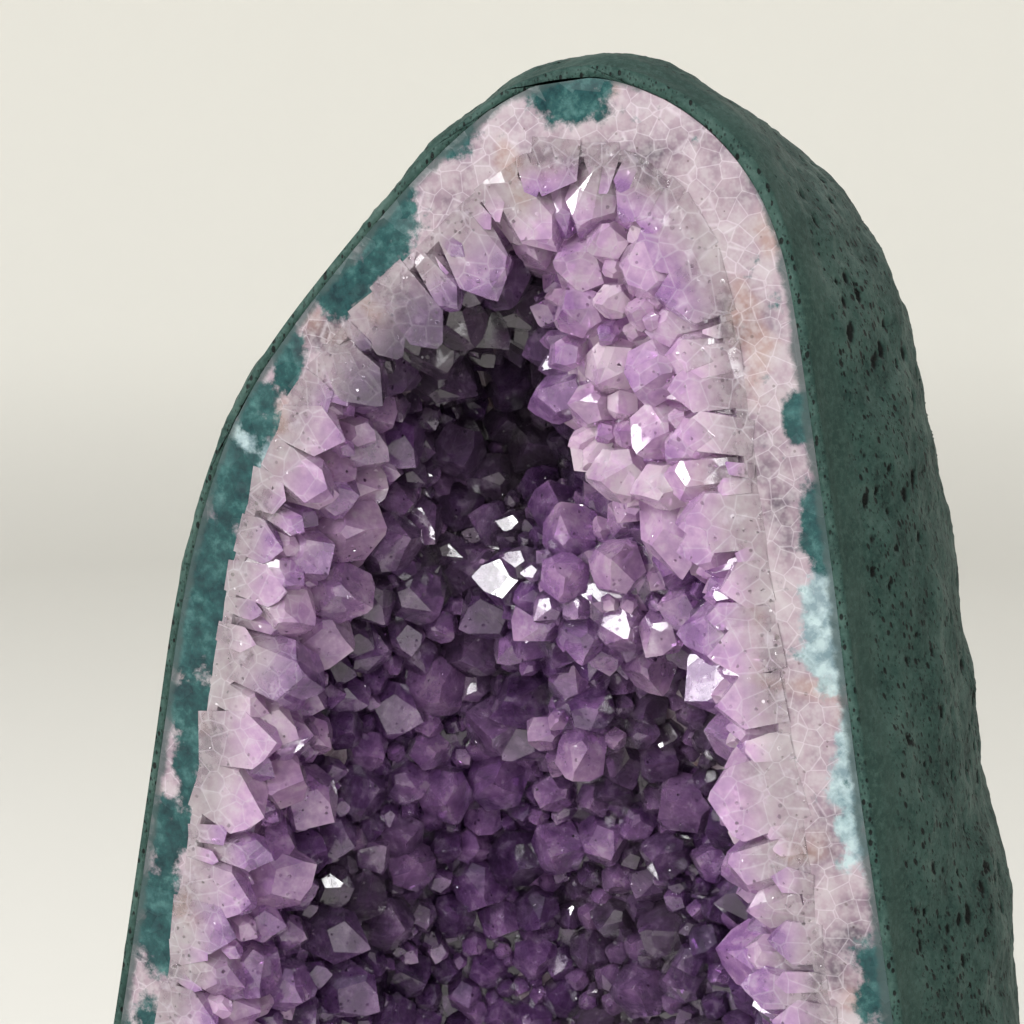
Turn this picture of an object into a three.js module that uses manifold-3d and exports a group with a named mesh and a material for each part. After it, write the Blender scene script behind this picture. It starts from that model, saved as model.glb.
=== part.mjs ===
// Amethyst cathedral geode: a long hollow stone, sawn open from end to end and ground flat
// underneath, so that it stands upright with its hollow facing forwards.
//
// It is made of the three layers that the saw lays open, from the outside in:
//   rind               the dark basalt crust, a lumpy bowl with a bevelled lip round the sawn face
//   quartz_wall        the pale quartz and agate that lines the crust, polished flat at the front
//   amethyst_crystals  the violet points that grew on the quartz, all grown together
//
// Millimetres, +Z up. The sawn face looks along -Y and the stone bulges back along +Y.
// The origin is on the ground, under the middle of the stone's bounding box.

import * as THREE from "three";
import { ConvexGeometry } from "three/addons/geometries/ConvexGeometry.js";
import { mergeVertices } from "three/addons/utils/BufferGeometryUtils.js";
import Module from "manifold-3d";

const wasm = await Module();
wasm.setup();

// ---------------------------------------------------------------- driving dimensions

// The sawn face's outline, from the foot up the left side, over the top and down the right,
// as [x, z]. It runs below the ground, because the foot is ground off afterwards.
const FACE_OUTLINE = [
  [-30, -18], [-72, -12], [-94, 26], [-102, 78], [-102, 122], [-94, 165], [-82, 230],
  [-73, 277], [-60, 311], [-38, 339], [-16, 362], [2, 376], [20, 380], [42, 371],
  [58, 356], [66, 334], [75, 294], [82, 246], [90, 198], [97, 150], [98, 100],
  [91, 38], [70, -10], [26, -18],
];
const AROUND = 56; // points in each ring of the stone
const HOLLOW_AROUND = 34; // and in each ring of the hollow

const SPINE_FOOT = new THREE.Vector2(0, 75); // the line that the rings close in on
const SPINE_TOP = new THREE.Vector2(15, 322);

const DEPTH = 126; // from the sawn face to the furthest point of the back
const DEEPEST_Z = 150; // the height where the stone is deepest
const TAPER = 0.4; // how much of the depth is gone one TAPER_REACH above or below that
const TAPER_REACH = 230;

const BEVEL_BACK = 8; // the ground bevel round the sawn face: how far back it runs
const BEVEL_OUT = 3.2; // and how far out
const WIDEST_BACK = 45; // the depth at which the stone is widest
const BULGE_RIGHT = 13; // how far the right flank stands out past the face's outline there
const BULGE_LEFT = 7;
const BULGE_CROWN = 6;
const CROWN = [325, 372]; // the heights over which the flanks turn into the crown
const DOME_POWER = 2.3; // 2 rounds the back as an ellipse does, and more makes it blunter
const LUMP = 1.4; // height of the crust's lumps

const LIP_THICK = 1.8; // crust at the sawn face
const CRUST_THICK = 6.5; // crust behind the bevel
const FOOT_THICK = 8; // crust under the quartz, above the ground

const RING_WIDTH = 11.5; // quartz between the crust's lip and the hollow, on the sawn face
const RING_WIDER_RIGHT = 2.5; // added on the right
const RING_WIDER_FOOT = 20; // added towards the foot
const FLARE = 13; // how much wider the hollow opens at its mouth
const FLARE_DEPTH = 11; // how quickly that flare closes, going in
const HOLLOW_SHARE = 0.66; // the hollow's depth as a share of the stone's
const HOLLOW_POWER = 2.8; // blunter than the back: steep walls and a broad floor

// Where the wall swells into the hollow (positive share) or falls away (negative).
const SWELLS = [
  { x: 44, z: 330, reach: 36, share: 0.74 }, // the shelf at the upper right
  { x: 4, z: 262, reach: 26, share: 0.45 }, // the knot of crystals in the middle
  { x: -34, z: 318, reach: 20, share: -0.2 }, // the deep pocket behind the shelf
  { x: 10, z: 226, reach: 18, share: 0.16 },
  { x: -52, z: 190, reach: 22, share: 0.12 },
  { x: 30, z: 120, reach: 30, share: 0.2 },
];

const GAP = 0.3; // between one layer and the next
const BED_THICK = 4; // the sheet of grown-together roots under the points
const CRYSTALS = 72;
const CRYSTAL_SPACING = 17; // closest that two crystals' roots may lie
const CRYSTAL_RADIUS = [6.5, 11];
const TIP_SLOPE = 1.1; // a quartz tip's height beside its radius
const LEAN = 0.32; // how far a crystal may lean from the wall's normal
const SEED = 9;

const SAW_CLEARANCE = 6; // how far solids run past a plane that trims them

// ---------------------------------------------------------------- helpers

// A repeatable stream of numbers from 0 to 1 (mulberry32).
function randomStream(seed) {
  let state = seed;
  return () => {
    state = (state + 0x6d2b79f5) | 0;
    let t = Math.imul(state ^ (state >>> 15), 1 | state);
    t = (t + Math.imul(t ^ (t >>> 7), 61 | t)) ^ t;
    return ((t ^ (t >>> 14)) >>> 0) / 4294967296;
  };
}

const { lerp, smoothstep, clamp } = THREE.MathUtils;

// A closed three.js geometry as a manifold-3d solid.
function solidOf(geometry) {
  const bare = geometry.clone();
  bare.deleteAttribute("normal");
  bare.deleteAttribute("uv");
  const merged = mergeVertices(bare, 1e-3);
  return new wasm.Manifold(
    new wasm.Mesh({
      numProp: 3,
      vertProperties: merged.attributes.position.array,
      triVerts: new Uint32Array(merged.index.array),
    }),
  );
}

// A manifold-3d solid as a three.js geometry with flat faces.
function geometryOf(solid) {
  const { vertProperties, triVerts, numProp } = solid.getMesh();
  const positions = new Float32Array(triVerts.length * 3);
  triVerts.forEach((vertex, i) => {
    positions.set(vertProperties.subarray(vertex * numProp, vertex * numProp + 3), i * 3);
  });
  const geometry = new THREE.BufferGeometry();
  geometry.setAttribute("position", new THREE.BufferAttribute(positions, 3));
  geometry.computeVertexNormals();
  return geometry;
}

// A closed skin over rings of points that follow one another from front to back. Each ring starts
// at its foot and runs up the left side, so a cap is laced across from left to right.
function skinOver(rings) {
  const count = rings[0].length;
  const corners = [];
  for (let r = 0; r + 1 < rings.length; r++) {
    for (let i = 0; i < count; i++) {
      const next = (i + 1) % count;
      const [a, b] = [rings[r][i], rings[r][next]];
      const [c, d] = [rings[r + 1][i], rings[r + 1][next]];
      corners.push(a, b, c, b, d, c);
    }
  }
  const [front, back] = [rings[0], rings.at(-1)];
  for (let i = 0; i < count / 2 - 1; i++) {
    const [left, leftUp, rightUp, right] = [i, i + 1, count - 2 - i, count - 1 - i];
    corners.push(front[left], front[right], front[rightUp]);
    corners.push(front[left], front[rightUp], front[leftUp]);
    corners.push(back[left], back[rightUp], back[right]);
    corners.push(back[left], back[leftUp], back[rightUp]);
  }
  return new THREE.BufferGeometry().setFromPoints(corners);
}

// ---------------------------------------------------------------- the stone's form

// Evenly spaced points round the sawn face.
function faceOutline() {
  const points = FACE_OUTLINE.map(([x, z]) => new THREE.Vector3(x, 0, z));
  const curve = new THREE.CatmullRomCurve3(points, true, "centripetal");
  return curve.getSpacedPoints(AROUND).slice(0, AROUND).map((p) => new THREE.Vector2(p.x, p.z));
}

const outline = faceOutline();

// The point of the spine at the same height as a point of the face.
function spineBeside(point) {
  const t = clamp((point.y - SPINE_FOOT.y) / (SPINE_TOP.y - SPINE_FOOT.y), 0, 1);
  return SPINE_FOOT.clone().lerp(SPINE_TOP, t);
}

// How deep the stone is at a height, beside its greatest depth.
function depthShare(z) {
  const away = (z - DEEPEST_Z) / TAPER_REACH;
  return 1 - TAPER * away * away;
}

// The crust's slow lumps, in millimetres.
function lump(x, y, z) {
  const wave =
    Math.sin(x * 0.061 + z * 0.043) + Math.sin(z * 0.083 - y * 0.071 + 1.7) +
    Math.sin(y * 0.097 + x * 0.052 + z * 0.021 + 4.1);
  return (LUMP * wave) / 3;
}

// How far the flank stands out past a point of the face's outline, at a depth in front of the
// widest point.
function flankOut(point, back) {
  const right = smoothstep(point.x, -60, 60);
  const bulge = lerp(lerp(BULGE_LEFT, BULGE_RIGHT, right), BULGE_CROWN, smoothstep(point.y, ...CROWN));
  const bevel = BEVEL_OUT * lerp(0.5, 1, right);
  if (back <= 0) return 0;
  if (back < BEVEL_BACK) return (bevel * back) / BEVEL_BACK;
  const t = (back - BEVEL_BACK) / (WIDEST_BACK - BEVEL_BACK);
  return lerp(bevel, bulge, Math.sin((t * Math.PI) / 2));
}

// One ring of the stone's form. back is its depth in front of the widest point, and close runs
// from 0 there to 1 where the back closes. inset takes the ring in, as the crust's thickness does.
function stoneRing(back, close, inset) {
  const angle = (close * Math.PI) / 2;
  const share = Math.cos(angle) ** (2 / DOME_POWER);
  const behind = (DEPTH - WIDEST_BACK - inset) * Math.sin(angle) ** (2 / DOME_POWER);
  return outline.map((point) => {
    const spine = spineBeside(point);
    const arm = point.clone().sub(spine);
    const reach = arm.length() + flankOut(point, back) - inset;
    const place = spine.add(arm.setLength(Math.max(reach, 1) * share));
    const y = back <= 0 ? back : (back + behind) * depthShare(place.y);
    const swell = back <= 0 ? 0 : lump(place.x, y, place.y) * smoothstep(back, 0, BEVEL_BACK * 2);
    place.add(point.clone().sub(spineBeside(point)).setLength(swell));
    return new THREE.Vector3(place.x, y, place.y);
  });
}

// The whole form, from just in front of the saw cut to the back.
function stoneForm(insetAt) {
  const backs = [-SAW_CLEARANCE, 0, BEVEL_BACK, (BEVEL_BACK + WIDEST_BACK) / 2, WIDEST_BACK];
  const closes = [0.2, 0.4, 0.6, 0.78, 0.92];
  return solidOf(
    skinOver([
      ...backs.map((back) => stoneRing(back, 0, insetAt(back))),
      ...closes.map((close) => stoneRing(WIDEST_BACK, close, insetAt(WIDEST_BACK))),
    ]),
  );
}

// ---------------------------------------------------------------- the hollow's form

// How far the hollow's edge lies inside the face's outline.
function ringWidth(point) {
  const right = smoothstep(point.x, -40, 70);
  const foot = 1 - smoothstep(point.y, -10, 60);
  return LIP_THICK + RING_WIDTH + RING_WIDER_RIGHT * right + RING_WIDER_FOOT * foot;
}

// A point of the hollow's wall. turn is the place round the outline, from 0 to 1, and inward runs
// from 0 at the sawn face to 1 at the middle of the floor. inset takes the wall into the hollow.
function hollowPoint(turn, inward, inset) {
  const at = ((turn % 1) + 1) % 1 * AROUND;
  const from = Math.floor(at) % AROUND;
  const point = outline[from].clone().lerp(outline[(from + 1) % AROUND], at - Math.floor(at));
  const spine = spineBeside(point);
  const arm = point.clone().sub(spine);
  const mouth = arm.length() - ringWidth(point) - inset;
  const throat = mouth - FLARE;
  const angle = (Math.max(inward, 0) * Math.PI) / 2;
  const closing = Math.cos(angle) ** (2 / HOLLOW_POWER);
  const sinking = Math.sin(angle) ** (2 / HOLLOW_POWER);
  const place = spine.clone().add(arm.clone().setLength(throat * closing));
  let depth = DEPTH * HOLLOW_SHARE * depthShare(place.y) - inset;
  for (const swell of SWELLS) {
    const away = Math.hypot(place.x - swell.x, place.y - swell.z) / swell.reach;
    depth *= 1 - swell.share * Math.exp(-away * away);
  }
  const y = inward < 0 ? -SAW_CLEARANCE : depth * sinking;
  const flare = FLARE * Math.exp(-Math.max(y, 0) / FLARE_DEPTH);
  place.add(arm.setLength(flare));
  return new THREE.Vector3(place.x, y, place.y);
}

function hollowForm(inset) {
  const rows = [-1, 0, 0.03, 0.09, 0.2, 0.4, 0.64, 0.9];
  return solidOf(
    skinOver(
      rows.map((inward) =>
        Array.from({ length: HOLLOW_AROUND }, (_, i) => hollowPoint(i / HOLLOW_AROUND, inward, inset)),
      ),
    ),
  );
}

// ---------------------------------------------------------------- the crystals

// One quartz point along +Y: a six-sided column whose roots lie below 0, under a six-sided tip.
// Three of a quartz tip's faces outgrow the other three, so its shoulder goes up and down.
function crystalGeometry(radius, column, roots) {
  const corners = [new THREE.Vector3(0, column + radius * TIP_SLOPE, 0)];
  for (let side = 0; side < 6; side++) {
    const angle = (side * Math.PI) / 3;
    const [x, z] = [Math.cos(angle), Math.sin(angle)];
    const shoulder = column + (side % 2 ? radius * 0.16 : 0);
    corners.push(new THREE.Vector3(x * radius, shoulder, z * radius));
    corners.push(new THREE.Vector3(x * radius * 0.85, -roots, z * radius * 0.85));
  }
  return new ConvexGeometry(corners);
}

// Where a crystal can root: points spread over the hollow's wall, with the way out of the wall.
function crystalRoots(random) {
  const roots = [];
  const step = 0.004;
  for (let tries = 0; tries < 9000 && roots.length < CRYSTALS; tries++) {
    const [turn, inward] = [random(), 0.02 + 0.93 * random()];
    const place = hollowPoint(turn, inward, BED_THICK);
    if (roots.some((root) => root.place.distanceTo(place) < CRYSTAL_SPACING)) continue;
    const along = hollowPoint(turn + step, inward, BED_THICK).sub(place);
    const across = hollowPoint(turn, inward + step, BED_THICK).sub(place);
    const out = across.cross(along).normalize();
    roots.push({ place, out });
  }
  return roots;
}

function crystalSolids() {
  const random = randomStream(SEED);
  return crystalRoots(random).map(({ place, out }) => {
    const size = random() ** 1.6;
    const radius = lerp(...CRYSTAL_RADIUS, size);
    const column = radius * lerp(0.2, 0.8, random());
    const lean = new THREE.Vector3(random() - 0.5, random() - 0.7, random() - 0.4);
    const axis = out.clone().addScaledVector(lean, 2 * LEAN).normalize();
    const turned = new THREE.Quaternion().setFromUnitVectors(new THREE.Vector3(0, 1, 0), axis);
    const spin = new THREE.Quaternion().setFromAxisAngle(axis, random() * Math.PI);
    const geometry = crystalGeometry(radius, column, BED_THICK / 2 + radius * 0.4);
    geometry.applyQuaternion(turned.premultiply(spin));
    geometry.translate(place.x, place.y, place.z);
    return solidOf(geometry);
  });
}

// ---------------------------------------------------------------- the three layers

const behindTheSaw = (solid) => solid.trimByPlane([0, 1, 0], 0);
const above = (solid, z) => solid.trimByPlane([0, 0, 1], z);

const crustInset = (back) =>
  lerp(LIP_THICK, CRUST_THICK, smoothstep(back, 0, BEVEL_BACK * 1.5));

function rind() {
  const outside = above(behindTheSaw(stoneForm(() => 0)), 0);
  const inside = above(stoneForm(crustInset), FOOT_THICK);
  return outside.subtract(inside);
}

function quartzWall() {
  const outside = above(behindTheSaw(stoneForm((back) => crustInset(back) + GAP)), FOOT_THICK + GAP);
  return outside.subtract(hollowForm(0));
}

function amethystCrystals() {
  const room = behindTheSaw(hollowForm(GAP));
  const bed = room.subtract(hollowForm(BED_THICK));
  const points = wasm.Manifold.union(crystalSolids()).intersect(room);
  const grown = bed.add(points);
  return grown.decompose().sort((a, b) => b.volume() - a.volume())[0];
}

// ---------------------------------------------------------------- the scene graph

const stone = { metalness: 0, flatShading: true };
const LAYERS = [
  ["rind", rind, { ...stone, color: 0x2d423c, roughness: 0.62 }],
  ["quartz_wall", quartzWall, { ...stone, color: 0xcdbcc9, roughness: 0.22 }],
  ["amethyst_crystals", amethystCrystals, { ...stone, color: 0x6f4a93, roughness: 0.08 }],
];

const geode = new THREE.Group();
for (const [name, build, look] of LAYERS) {
  const mesh = new THREE.Mesh(geometryOf(build()), new THREE.MeshStandardMaterial(look));
  mesh.name = name;
  geode.add(mesh);
}

// The origin goes under the middle of the whole stone.
const middle = new THREE.Box3().setFromObject(geode).getCenter(new THREE.Vector3());
geode.position.set(-middle.x, -middle.y, 0);

export default geode;
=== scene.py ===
# %% [markdown]
# # An amethyst geode, sawn open
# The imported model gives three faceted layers: a dark crust, a pale quartz wall and a sheet of
# crystals. They have the right size and place, and none of the surface of a real stone. Each layer
# is copied here and grown into the real thing: the crust gets its lumps and pits, the sawn quartz
# gets its blue-green stains, and the hollow is lined with many hundreds of crystals.

# %% The frame
import math
import random

import bmesh
import bpy
from mathutils import Matrix, Vector, noise
from mathutils.bvhtree import BVHTree
from mathutils.kdtree import KDTree


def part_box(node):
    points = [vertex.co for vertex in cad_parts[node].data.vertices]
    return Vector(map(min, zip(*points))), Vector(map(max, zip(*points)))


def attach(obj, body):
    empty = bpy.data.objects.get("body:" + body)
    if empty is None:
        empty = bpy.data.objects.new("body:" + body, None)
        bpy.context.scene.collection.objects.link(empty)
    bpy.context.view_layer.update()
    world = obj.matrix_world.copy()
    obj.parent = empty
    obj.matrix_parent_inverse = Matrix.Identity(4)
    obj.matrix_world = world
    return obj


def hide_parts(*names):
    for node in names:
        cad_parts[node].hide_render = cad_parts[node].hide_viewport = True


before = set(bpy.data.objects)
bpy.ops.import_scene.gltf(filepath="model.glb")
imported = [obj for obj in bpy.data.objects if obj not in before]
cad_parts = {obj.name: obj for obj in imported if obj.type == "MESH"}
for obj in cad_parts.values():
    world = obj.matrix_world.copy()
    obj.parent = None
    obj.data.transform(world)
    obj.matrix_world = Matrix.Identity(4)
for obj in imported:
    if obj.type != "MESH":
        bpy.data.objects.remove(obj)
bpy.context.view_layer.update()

MM = 0.001
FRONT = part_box("rind")[0][1]  # the plane of the saw cut
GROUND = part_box("rind")[0][2]

# %% [markdown]
# ## The camera
# The camera comes first, because some of the largest crystals are placed by where they show. It
# stands a little to the right of the sawn face and looks slightly down, close enough that the foot
# of the stone is out of view.

# %% The camera
AIM = Vector((5.1 * MM, FRONT, 290 * MM))
camera_data = bpy.data.cameras.new("camera")
camera_data.lens = 85
camera_data.clip_start = 0.01
camera = bpy.data.objects.new("camera", camera_data)
bpy.context.collection.objects.link(camera)
bpy.context.scene.camera = camera
AZIMUTH, ELEVATION, DISTANCE = math.radians(22), math.radians(8), 0.509
camera.location = AIM + DISTANCE * Vector((
    math.sin(AZIMUTH) * math.cos(ELEVATION),
    -math.cos(AZIMUTH) * math.cos(ELEVATION),
    math.sin(ELEVATION),
))
camera.rotation_euler = (AIM - camera.location).to_track_quat("-Z", "Y").to_euler()
EYE = camera.location.copy()
print("the camera stands", round(DISTANCE / MM), "mm from the sawn face")

# %% [markdown]
# ## Working on a copy of a layer
# A CAD node arrives as loose triangles up to 20 mm long. Its copy is merged into one skin, its long
# edges are halved over and over, and after each halving the points are relaxed, so that the facets
# melt into a round form. The points on the saw cut stay in its plane, and those on the ground stay
# on the ground, but along their own edge they relax too. On the way, the shoulder right of the crown
# is filled out a little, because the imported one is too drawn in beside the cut. Halving thin
# triangles can leave two of them back to back with nothing between them, so such flaps are dropped.

# %% Copying, halving and relaxing a skin
FLAT = 0.01 * MM
SLIVER = 0.5 * MM
CREASE = math.radians(25)
HALVINGS = 4  # at most this many times in one go
CROWN = Vector((42 * MM, FRONT, 365 * MM))
CROWN_REACH, CROWN_DEPTH = 75 * MM, 32 * MM
CROWN_SHIFT = Vector((3.6 * MM, 0, 5.4 * MM))


def ease(value, low, high):
    """0 below low, 1 above high, and a smooth turn between them."""
    t = min(max((value - low) / (high - low), 0), 1)
    return t * t * (3 - 2 * t)


def node_copy(name):
    """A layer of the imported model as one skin, with its triangles merged and its slivers gone."""
    skin = bmesh.new()
    skin.from_mesh(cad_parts[name].data)
    bmesh.ops.remove_doubles(skin, verts=skin.verts, dist=SLIVER)
    for vert in skin.verts:
        away = math.hypot(vert.co.x - CROWN.x, vert.co.z - CROWN.z)
        share = 1 - ease(away, 0, CROWN_REACH)
        vert.co += CROWN_SHIFT * share * (1 - ease(vert.co.y - FRONT, 0, CROWN_DEPTH))
        if abs(vert.co.y - FRONT) < SLIVER:
            vert.co.y = FRONT
        if abs(vert.co.z - GROUND) < SLIVER:
            vert.co.z = GROUND
    bmesh.ops.dissolve_degenerate(skin, edges=skin.edges, dist=FLAT)
    bmesh.ops.triangulate(skin, faces=skin.faces[:])
    return skin


def sawn(vert):
    return abs(vert.co.y - FRONT) < FLAT


def grounded(vert):
    return abs(vert.co.z - GROUND) < FLAT


def on_sawn_edge(edge):
    """Whether an edge bounds one of the flat faces, where the skin turns a corner."""
    flat = all(map(sawn, edge.verts)) or all(map(grounded, edge.verts))
    return flat and edge.calc_face_angle(0) > CREASE


def drop_flaps(skin):
    """Removes faces that lie back to back on the same points."""
    sharing = {}
    for face in skin.faces:
        sharing.setdefault(frozenset(face.verts), []).append(face)
    flaps = [face for same in sharing.values() if len(same) > 1 for face in same]
    bmesh.ops.delete(skin, geom=flaps, context="FACES")


def halve(skin, chosen, longest):
    """Halves the chosen edges, a few times over, while they are longer than longest lets them be."""
    for _ in range(HALVINGS):
        edges = [e for e in skin.edges if chosen(e) and e.calc_length() > longest(e.verts[0].co)]
        bmesh.ops.subdivide_edges(skin, edges=edges, cuts=1)
        bmesh.ops.triangulate(skin, faces=[f for f in skin.faces if len(f.verts) > 3],
                              quad_method="BEAUTY", ngon_method="BEAUTY")
    drop_flaps(skin)


def in_fixed_order(skin):
    """The same skin with its edges and faces in an order that is the same in every run."""
    skin.verts.index_update()
    for items in (skin.edges, skin.faces):
        order = sorted(items, key=lambda item: sorted(v.index for v in item.verts))
        rank = {item: number for number, item in enumerate(order)}
        items.sort(key=lambda item: rank[item])
        items.index_update()
    kept = bpy.data.meshes.new("in_fixed_order")
    skin.to_mesh(kept)
    skin.clear()
    skin.from_mesh(kept)
    bpy.data.meshes.remove(kept)


def relax(skin, loose, rounds):
    """Moves loose points towards their neighbours, and points of an edge along that edge."""
    free = [v for v in skin.verts if loose(v)]
    beside = {}
    for edge in skin.edges:
        if on_sawn_edge(edge):
            for here, there in (edge.verts, reversed(edge.verts)):
                beside.setdefault(here, []).append(there)
    runs = {v: ends for v, ends in beside.items() if len(ends) == 2}
    for _ in range(rounds):
        bmesh.ops.smooth_vert(
            skin, verts=free, factor=0.5, use_axis_x=True, use_axis_y=True, use_axis_z=True)
        moved = {v: v.co / 2 + (a.co + b.co) / 4 for v, (a, b) in runs.items()}
        for vert, place in moved.items():
            vert.co = place


def as_object(skin, name):
    """Turns a finished skin into an object of the scene."""
    mesh = bpy.data.meshes.new(name)
    skin.to_mesh(mesh)
    skin.free()
    made = bpy.data.objects.new(name, mesh)
    bpy.context.collection.objects.link(made)
    return made


# %% [markdown]
# ## The crust
# A geode's crust is a basalt bubble: dark, dull, lumpy, and pitted by smaller bubbles that were
# stretched upright. A bump map alone would leave its outline as smooth as an egg, so the lumps and
# the larger pits are real. The outside is halved finely, most finely on the flank beside the saw
# cut, and each point is then pushed in or out. Beside the cut on the right, the crust was ground to
# a plain bevel, so the pits stop there.

# %% The crust's smooth form
TOUCHING = 1 * MM
FINE_EDGE, COARSE_EDGE = 1.4 * MM, 3.0 * MM
quartz_tree = BVHTree.FromBMesh(node_copy("quartz_wall"))
crust = node_copy("rind")
outside = crust.faces.layers.int.new("outside")


def is_outside(face):
    inner = any(quartz_tree.find_nearest(v.co, TOUCHING)[0] for v in face.verts)
    return not inner and not all(map(grounded, face.verts))


for face in crust.faces:
    face[outside] = is_outside(face)


def on_outside(item):
    return any(face[outside] for face in item.link_faces)


def crust_edge(place):
    """Longest edge of the crust's skin: short on the flank that is looked at closely."""
    flank = place.y < FRONT + 62 * MM and place.z > 150 * MM
    close = flank and (place.x > 40 * MM or place.z > 350 * MM)
    return FINE_EDGE if close else COARSE_EDGE


def on_natural_skin(vert):
    return on_outside(vert) and not sawn(vert) and not grounded(vert)


for step in (9, 4.5):
    halve(crust, lambda e: on_outside(e) or on_sawn_edge(e), lambda _: step * MM)
    relax(crust, on_natural_skin, 4)
halve(crust, lambda e: on_outside(e) or on_sawn_edge(e), crust_edge)
relax(crust, on_natural_skin, 3)
print("the crust has", len(crust.faces), "triangles")

# %% The crust's lumps and pits
BEVEL = 7.5 * MM
PITS = 700  # tries
LUMPS, SWELLING = 42, 1.5  # how often along a metre, and how high in mm
KNOBS, KNOB_HEIGHT = 105, 0.9
GRIT, GRIT_HEIGHT = 330, 0.28
BEVEL_CALM = 0.85  # how much of the roughness was ground off the bevel
dice = random.Random(11)
pit_depth = crust.verts.layers.float.new("pit")
bevelled = crust.verts.layers.float.new("bevel")
crust.normal_update()
skin_points = [v for v in crust.verts if on_natural_skin(v)]


def bevel_share(place):
    """1 on the ground bevel, 0 on the natural crust behind it and all down the left side."""
    right = ease(place.x, -20 * MM, 25 * MM)
    width = BEVEL * (1 + 0.25 * noise.noise(place * 60))
    return right * (1 - ease(place.y - FRONT, width * 0.8, width * 1.15))


tree = KDTree(len(skin_points))
for i, vert in enumerate(skin_points):
    tree.insert(vert.co, i)
tree.balance()

for vert in skin_points:
    vert[bevelled] = bevel_share(vert.co)

for _ in range(PITS):
    centre = dice.choice(skin_points)
    crowded = noise.noise(centre.co * 45) + 0.35
    if centre[bevelled] > 0.15 or dice.random() > crowded + 0.35:
        continue
    wide = dice.uniform(0.7, 1.0 + 0.8 * dice.random() ** 3) * MM
    tall = wide * dice.uniform(1.2, 2.3)
    deep = wide * dice.uniform(0.7, 1.2)
    for place, i, _ in tree.find_range(centre.co, tall):
        vert = skin_points[i]
        away = place - centre.co
        across = math.hypot(away.x, away.y) / wide
        share = 1 - min(across ** 2 + (away.z / tall) ** 2, 1)
        vert[pit_depth] = max(vert[pit_depth], share * deep / MM)

for vert in skin_points:
    near_cut = ease(vert.co.y - FRONT, 0, 3 * MM) * ease(vert.co.z - GROUND, 0, 3 * MM)
    rough = near_cut * (1 - BEVEL_CALM * vert[bevelled])
    height = SWELLING * noise.noise(vert.co * LUMPS) * near_cut
    height += rough * KNOB_HEIGHT * noise.noise(vert.co * KNOBS + Vector((7, 0, 0)))
    height += rough * GRIT_HEIGHT * noise.fractal(vert.co * GRIT, 0.8, 2.0, 3)
    height -= rough * vert[pit_depth]
    vert.co += vert.normal * height * MM

rind = as_object(crust, "basalt_crust")
rind.data.shade_smooth()
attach(rind, "root")
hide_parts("rind")
print("the crust's skin has", len(skin_points), "points")

# %% [markdown]
# ## The quartz wall
# Between the crust and the amethyst lies a band of pale quartz. Only its sawn edge shows: it was
# polished flat, so its form is plain, and all of its interest is colour. The colour needs to know
# how far each point lies from the crust, so that distance is measured and kept on the mesh. The
# packed layers keep a small gap between them, which a grown stone doesn't have, so it is closed.

# %% The polished ring of quartz
ring = node_copy("quartz_wall")
rim_distance = ring.verts.layers.float.new("from_crust")


def on_ring(item):
    return any(abs(face.normal.y) > 0.99 and all(map(sawn, face.verts)) for face in item.link_faces)


for step in (9, 4.5, 1.8):
    halve(ring, lambda e: on_ring(e) or on_sawn_edge(e), lambda _: step * MM)
    relax(ring, lambda v: on_ring(v) and not any(map(on_sawn_edge, v.link_edges)), 3)

HAIRLINE, CLOSED = 0.6 * MM, 0.93  # a gap up to this wide is closed by this share
crust_tree = BVHTree.FromBMesh(node_copy("rind"))
for vert in ring.verts:
    touching, _, _, gap = crust_tree.find_nearest(vert.co)
    vert[rim_distance] = gap / MM
    if gap < HAIRLINE:
        vert.co += (touching - vert.co) * CLOSED
print("the quartz wall has", len(ring.faces), "triangles")

# %% [markdown]
# ## The stains
# Near the crust the quartz holds patches of dark moss agate, and a few of a pale sea-green. Noise
# would put them anywhere, so each patch is placed one by one as a soft oval, and how deep a point
# lies in one is kept on the mesh. The finish makes their borders ragged later.

# %% The stains, one by one
MOSS = (  # middle across and up, half width and half height in mm
    (18, 377, 12, 8), (-10, 369, 9, 7), (-24, 349, 9, 13), (-33, 338, 9, 9), (-47, 321, 5, 8),
    (-54, 309, 6, 8), (-62, 292, 9, 12), (-67, 273, 12, 16), (-70, 257, 12, 13), (-72, 241, 10, 8),
    (-71, 228, 8, 9), (-79, 212, 7, 9), (-81, 190, 9, 16), (-84, 158, 10, 15), (-87, 126, 8, 13),
    (-86, 92, 10, 14), (-84, 60, 9, 13), (68, 312, 5, 6), (72, 290, 6, 9), (89, 196, 9, 14),
    (93, 165, 8, 12), (95, 130, 9, 14), (94, 88, 8, 15), (88, 55, 10, 13), (-50, 18, 24, 9),
    (40, 16, 22, 8),
)
AQUA = ((75, 270, 8, 17), (80, 238, 6, 20), (-57, 301, 6, 8), (-9, 376, 8, 6))
moss_share = ring.verts.layers.float.new("moss")
aqua_share = ring.verts.layers.float.new("aqua")


def stained(place, patches):
    """How deep inside the nearest patch a place lies: 1 at a patch's middle, 0 outside them all."""
    most = 0
    for across, up, half_width, half_height in patches:
        away = math.hypot((place.x / MM - across) / half_width, (place.z / MM - up) / half_height)
        most = max(most, 1 - ease(away, 0.35, 1.35))
    return most


for vert in ring.verts:
    vert[moss_share] = stained(vert.co, MOSS)
    vert[aqua_share] = stained(vert.co, AQUA)

quartz = as_object(ring, "quartz_wall_sawn")
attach(quartz, "root")
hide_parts("quartz_wall")
print(len(MOSS), "dark stains and", len(AQUA), "pale ones")

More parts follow.
